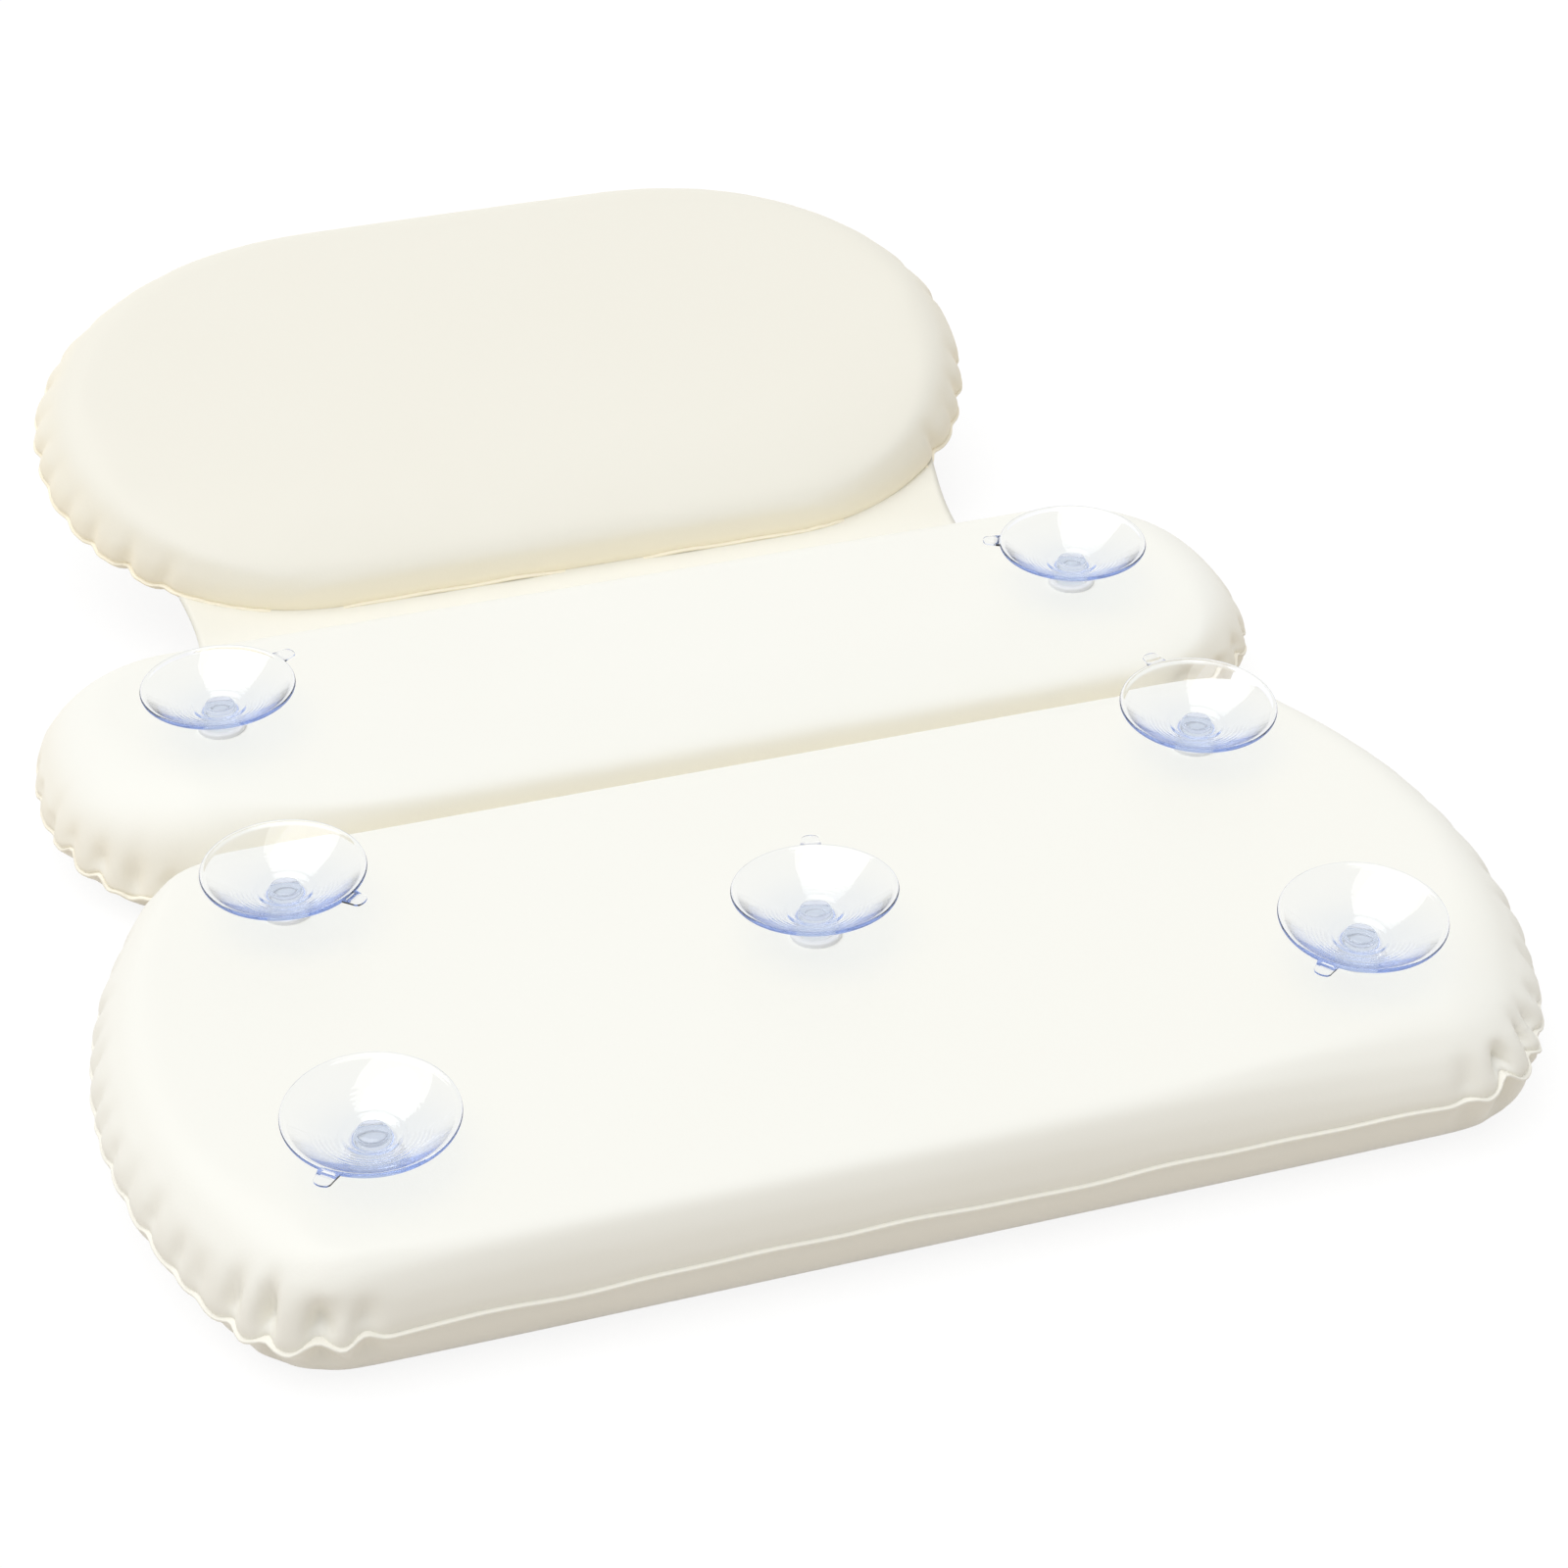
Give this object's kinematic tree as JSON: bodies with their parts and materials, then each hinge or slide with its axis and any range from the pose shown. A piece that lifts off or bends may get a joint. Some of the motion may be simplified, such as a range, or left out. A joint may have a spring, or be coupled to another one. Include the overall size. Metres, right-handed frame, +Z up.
{
  "type": "bath pillow",
  "caption": "Folding bath pillow: foam cushions in welded cream vinyl, hinged by flat vinyl webs, with clear suction cups on the back that hold it to a smooth tub.",
  "frame": {"origin": "on the resting surface, under the middle of the lower cushion", "axes": "+X across the pillow, +Y from the lower cushion to the head cushion, +Z up, the way the suction cups face"},
  "size_m": [0.395, 0.5069, 0.0791],
  "materials": {
    "vinyl": "satin cream soft vinyl sheet",
    "foam": "open-cell foam, pale yellow",
    "clear_vinyl": "clear glossy soft vinyl with a blue tint at the edge",
    "anchor_vinyl": "milky semi-clear moulded vinyl"
  },
  "bodies": {
    "lower_cushion": {"lower_back_skin": "vinyl", "lower_front_skin": "vinyl", "lower_foam_core": "foam", "lower_web": "vinyl", "cup_anchor_front_left": "anchor_vinyl", "cup_anchor_front_right": "anchor_vinyl", "cup_anchor_centre": "anchor_vinyl", "cup_anchor_back_left": "anchor_vinyl", "cup_anchor_back_right": "anchor_vinyl"},
    "middle_cushion": {"middle_back_skin": "vinyl", "middle_front_skin": "vinyl", "middle_foam_core": "foam", "head_web": "vinyl", "cup_anchor_middle_left": "anchor_vinyl", "cup_anchor_middle_right": "anchor_vinyl"},
    "head_cushion": {"head_back_skin": "vinyl", "head_front_skin": "vinyl", "head_foam_core": "foam"},
    "cup_front_left": {"suction_cup_front_left": "clear_vinyl"},
    "cup_front_right": {"suction_cup_front_right": "clear_vinyl"},
    "cup_centre": {"suction_cup_centre": "clear_vinyl"},
    "cup_back_left": {"suction_cup_back_left": "clear_vinyl"},
    "cup_back_right": {"suction_cup_back_right": "clear_vinyl"},
    "cup_middle_left": {"suction_cup_middle_left": "clear_vinyl"},
    "cup_middle_right": {"suction_cup_middle_right": "clear_vinyl"}
  },
  "joints": [
    {"name": "lower_fold", "type": "hinge", "parent": "lower_cushion", "child": "middle_cushion", "pos_m": [0, 0.1025, 0.0175], "axis": [1, 0, 0], "range_deg": [-55, 52], "deforming": ["lower_web"]},
    {"name": "head_fold", "type": "hinge", "parent": "middle_cushion", "child": "head_cushion", "pos_m": [0, 0.2279, 0.0175], "axis": [1, 0, 0], "range_deg": [-118, 74], "deforming": ["head_web"]},
    {"name": "swivel_front_left", "type": "hinge", "parent": "lower_cushion", "child": "cup_front_left", "pos_m": [-0.1325, -0.0529, 0.036], "axis": [0, -0.0872, 0.9962], "continuous": true},
    {"name": "swivel_front_right", "type": "hinge", "parent": "lower_cushion", "child": "cup_front_right", "pos_m": [0.1325, -0.0529, 0.036], "axis": [0, -0.0872, 0.9962], "continuous": true},
    {"name": "swivel_centre", "type": "hinge", "parent": "lower_cushion", "child": "cup_centre", "pos_m": [0, 0.0026, 0.036], "axis": [0, 0.0436, 0.999], "continuous": true},
    {"name": "swivel_back_left", "type": "hinge", "parent": "lower_cushion", "child": "cup_back_left", "pos_m": [-0.1325, 0.0581, 0.036], "axis": [0, -0.0436, 0.999], "continuous": true},
    {"name": "swivel_back_right", "type": "hinge", "parent": "lower_cushion", "child": "cup_back_right", "pos_m": [0.1325, 0.0581, 0.036], "axis": [0, -0.0872, 0.9962], "continuous": true},
    {"name": "swivel_middle_left", "type": "hinge", "parent": "middle_cushion", "child": "cup_middle_left", "pos_m": [-0.1325, 0.1566, 0.036], "axis": [0, -0.0175, 0.9998], "continuous": true},
    {"name": "swivel_middle_right", "type": "hinge", "parent": "middle_cushion", "child": "cup_middle_right", "pos_m": [0.1325, 0.1566, 0.036], "axis": [0, -0.0175, 0.9998], "continuous": true}
  ]
}
